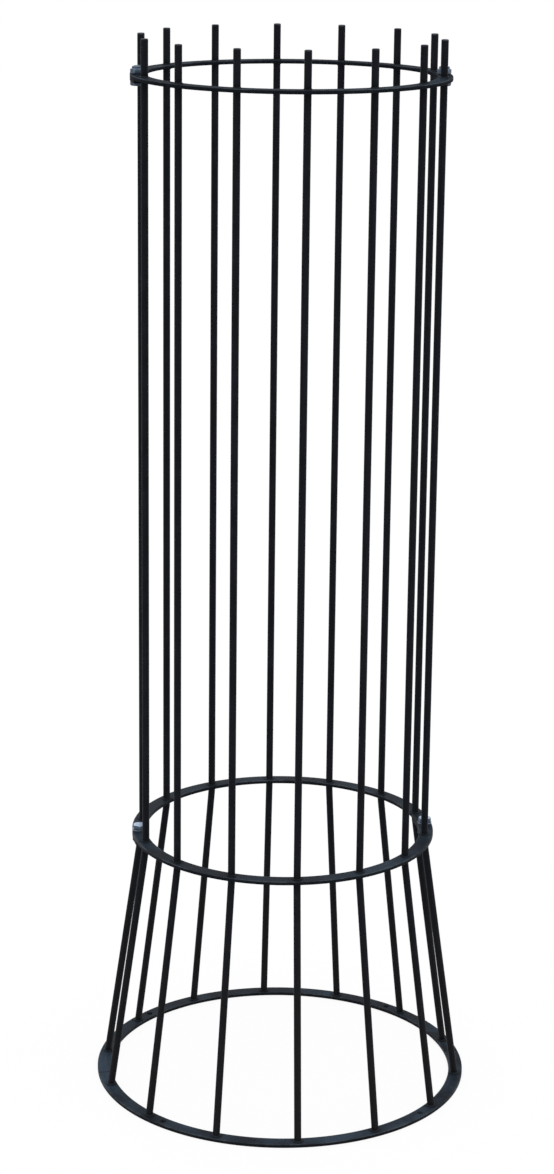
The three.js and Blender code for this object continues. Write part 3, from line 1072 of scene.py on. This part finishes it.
def makeFasteners():
    angles, hexRadius = hexColumns()
    gap = joints["seatGap"]
    for side, x in (("left", -cage["ringRadius"]), ("right", cage["ringRadius"])):
        for level in ("middle", "top"):
            above = cage[level + "Top"] + gap
            under = cage[level + "Top"] - (joints["plateSeat"] + joints["plateThickness"]) - gap
            if level == "middle":
                # head and washer above, nut below, flats facing outward
                washer = makeFastener(level, side, "washer", washerPatch((x, 0, above)))
                paintWasher(washer, (x, 0, above))
                headAt, nutAt = (x, 0, above + washers["thickness"] + gap), (x, 0, under)
                turn, nutDown = math.pi / 6, True
            else:
                # nut above, head below, corners facing outward
                headAt, nutAt, turn, nutDown = (x, 0, under), (x, 0, above), 0.0, False
            length = abs(headAt[2] - nutAt[2]) + nuts["height"] + bolts["standOut"]
            rows = boltRows(angles, hexRadius, length)
            bolt = makeFastener(level, side, "bolt", rowsPatch(angles, rows, headAt, turn, not nutDown))
            paintHexagon(bolt, headAt, not nutDown)
            rows = nutRows(hexRadius)
            nut = makeFastener(level, side, "nut", rowsPatch(angles, rows, nutAt, flip=nutDown))
            paintHexagon(nut, nutAt, nutDown)
            makeFastener(level, side, "insert", rowsPatch(angles, insertRows(), nutAt, flip=nutDown))
    print("fasteners made")


makeFasteners()


# Studio: white floor and surroundings, soft light from above, a low light behind, and the camera

studio = {
    "floorSize": 30.0,
    "floorLevel": -0.0001,
    "floorTone": (0.95, 0.95, 0.95, 1),
    "floorBounce": (0.30, 0.30, 0.30, 1),
    "floorRoughness": 0.9,
    "floorGlow": 0.86,  # share of the floor that is plain white paper lit from under
    "skyFill": 0.50,
}
# Spread, heading from +Y towards +X, and elevation, in degrees.
lamps = {
    "overhead": {
        "energy": 1.75, "spread": 80.0, "heading": 165.0, "elevation": 80.0, "tint": (1.0, 1.0, 1.0)},
    "behind": {
        "energy": 0.55, "spread": 50.0, "heading": -22.0, "elevation": 24.0, "tint": (0.72, 0.86, 1.0)},
}
cameraValues = {
    "place": (-0.3927, -3.8368, 1.8232),
    "heading": 0.0989,  # from +Y towards +X
    "pitch": 0.2752,
    "roll": 0.0111,
    "lens": 87.13,
    "sensor": 36.0,
}


# 1 where the surface is seen by the camera, in a reflection or through glass.
def seenRay(add):
    path = add("ShaderNodeLightPath").outputs
    mirrored = total(add, path["Is Glossy Ray"], path["Is Transmission Ray"])
    return total(add, path["Is Camera Ray"], mirrored, clamp=True)


# Where it is seen the floor is mostly plain white, with a little of the shaded paper so the shadow stays;
# towards the guard it bounces less.
def makeFloor():
    material = bpy.data.materials.new("floorPaper")
    add = emptyNodes(material)
    seen = seenRay(add)
    paper = add("ShaderNodeBsdfPrincipled", {
        "Base Color": mixColour(add, seen, studio["floorBounce"], studio["floorTone"]),
        "Roughness": studio["floorRoughness"], "Specular IOR Level": 0.0})
    white = add("ShaderNodeEmission", {"Color": (1, 1, 1, 1), "Strength": 1.0})
    surface = add("ShaderNodeMixShader", {
        0: product(add, seen, studio["floorGlow"]), 1: paper.outputs[0], 2: white.outputs[0]})
    add("ShaderNodeOutputMaterial", {"Surface": surface.outputs[0]})
    half = studio["floorSize"] / 2
    corners = [(x * half, y * half, studio["floorLevel"]) for x, y in ((-1, -1), (1, -1), (1, 1), (-1, 1))]
    mesh = bpy.data.meshes.new("floor")
    mesh.from_pydata(corners, [], [(0, 1, 2, 3)])
    mesh.materials.append(material)
    floor = addObject("floor", mesh)


# Unit vector at a heading from +Y towards +X and an elevation.
def direction(heading, elevation):
    flat = math.cos(elevation)
    return np.array([math.sin(heading) * flat, math.cos(heading) * flat, math.sin(elevation)])


def makeLight():
    world = bpy.data.worlds.new("studio")
    add = emptyNodes(world)
    strength = add("ShaderNodeMapRange", {"Value": seenRay(add), "To Min": studio["skyFill"], "To Max": 1.0})
    sky = add("ShaderNodeBackground", {"Color": (1, 1, 1, 1), "Strength": strength.outputs[0]})
    add("ShaderNodeOutputWorld", {"Surface": sky.outputs[0]})
    bpy.context.scene.world = world
    for name, values in lamps.items():
        sun = bpy.data.lights.new(name, "SUN")
        sun.energy, sun.color, sun.angle = values["energy"], values["tint"], math.radians(values["spread"])
        towards = Vector(direction(math.radians(values["heading"]), math.radians(values["elevation"])))
        addObject(name, sun).rotation_euler = towards.to_track_quat("Z", "Y").to_euler()


# Right, up and forward are worked out from heading, pitch and roll, and are the matrix's columns.
def makeCamera():
    heading, pitch, roll = (cameraValues[key] for key in ("heading", "pitch", "roll"))
    forward = direction(heading, -pitch)
    level = np.array([math.cos(heading), -math.sin(heading), 0])
    upright = np.cross(level, forward)
    right = math.cos(roll) * level + math.sin(roll) * upright
    up = math.cos(roll) * upright - math.sin(roll) * level
    matrix = np.eye(4)
    matrix[:3] = np.stack([right, up, -forward, cameraValues["place"]], 1)
    camera = addObject("camera", bpy.data.cameras.new("camera"))
    camera.data.lens = cameraValues["lens"]
    camera.data.sensor_width = cameraValues["sensor"]
    camera.matrix_world = Matrix(matrix.tolist())
    bpy.context.scene.camera = camera


makeFloor()
makeLight()
makeCamera()
bpy.context.scene.view_settings.view_transform = "Standard"
print("studio set")

bpy.context.view_layer.update()
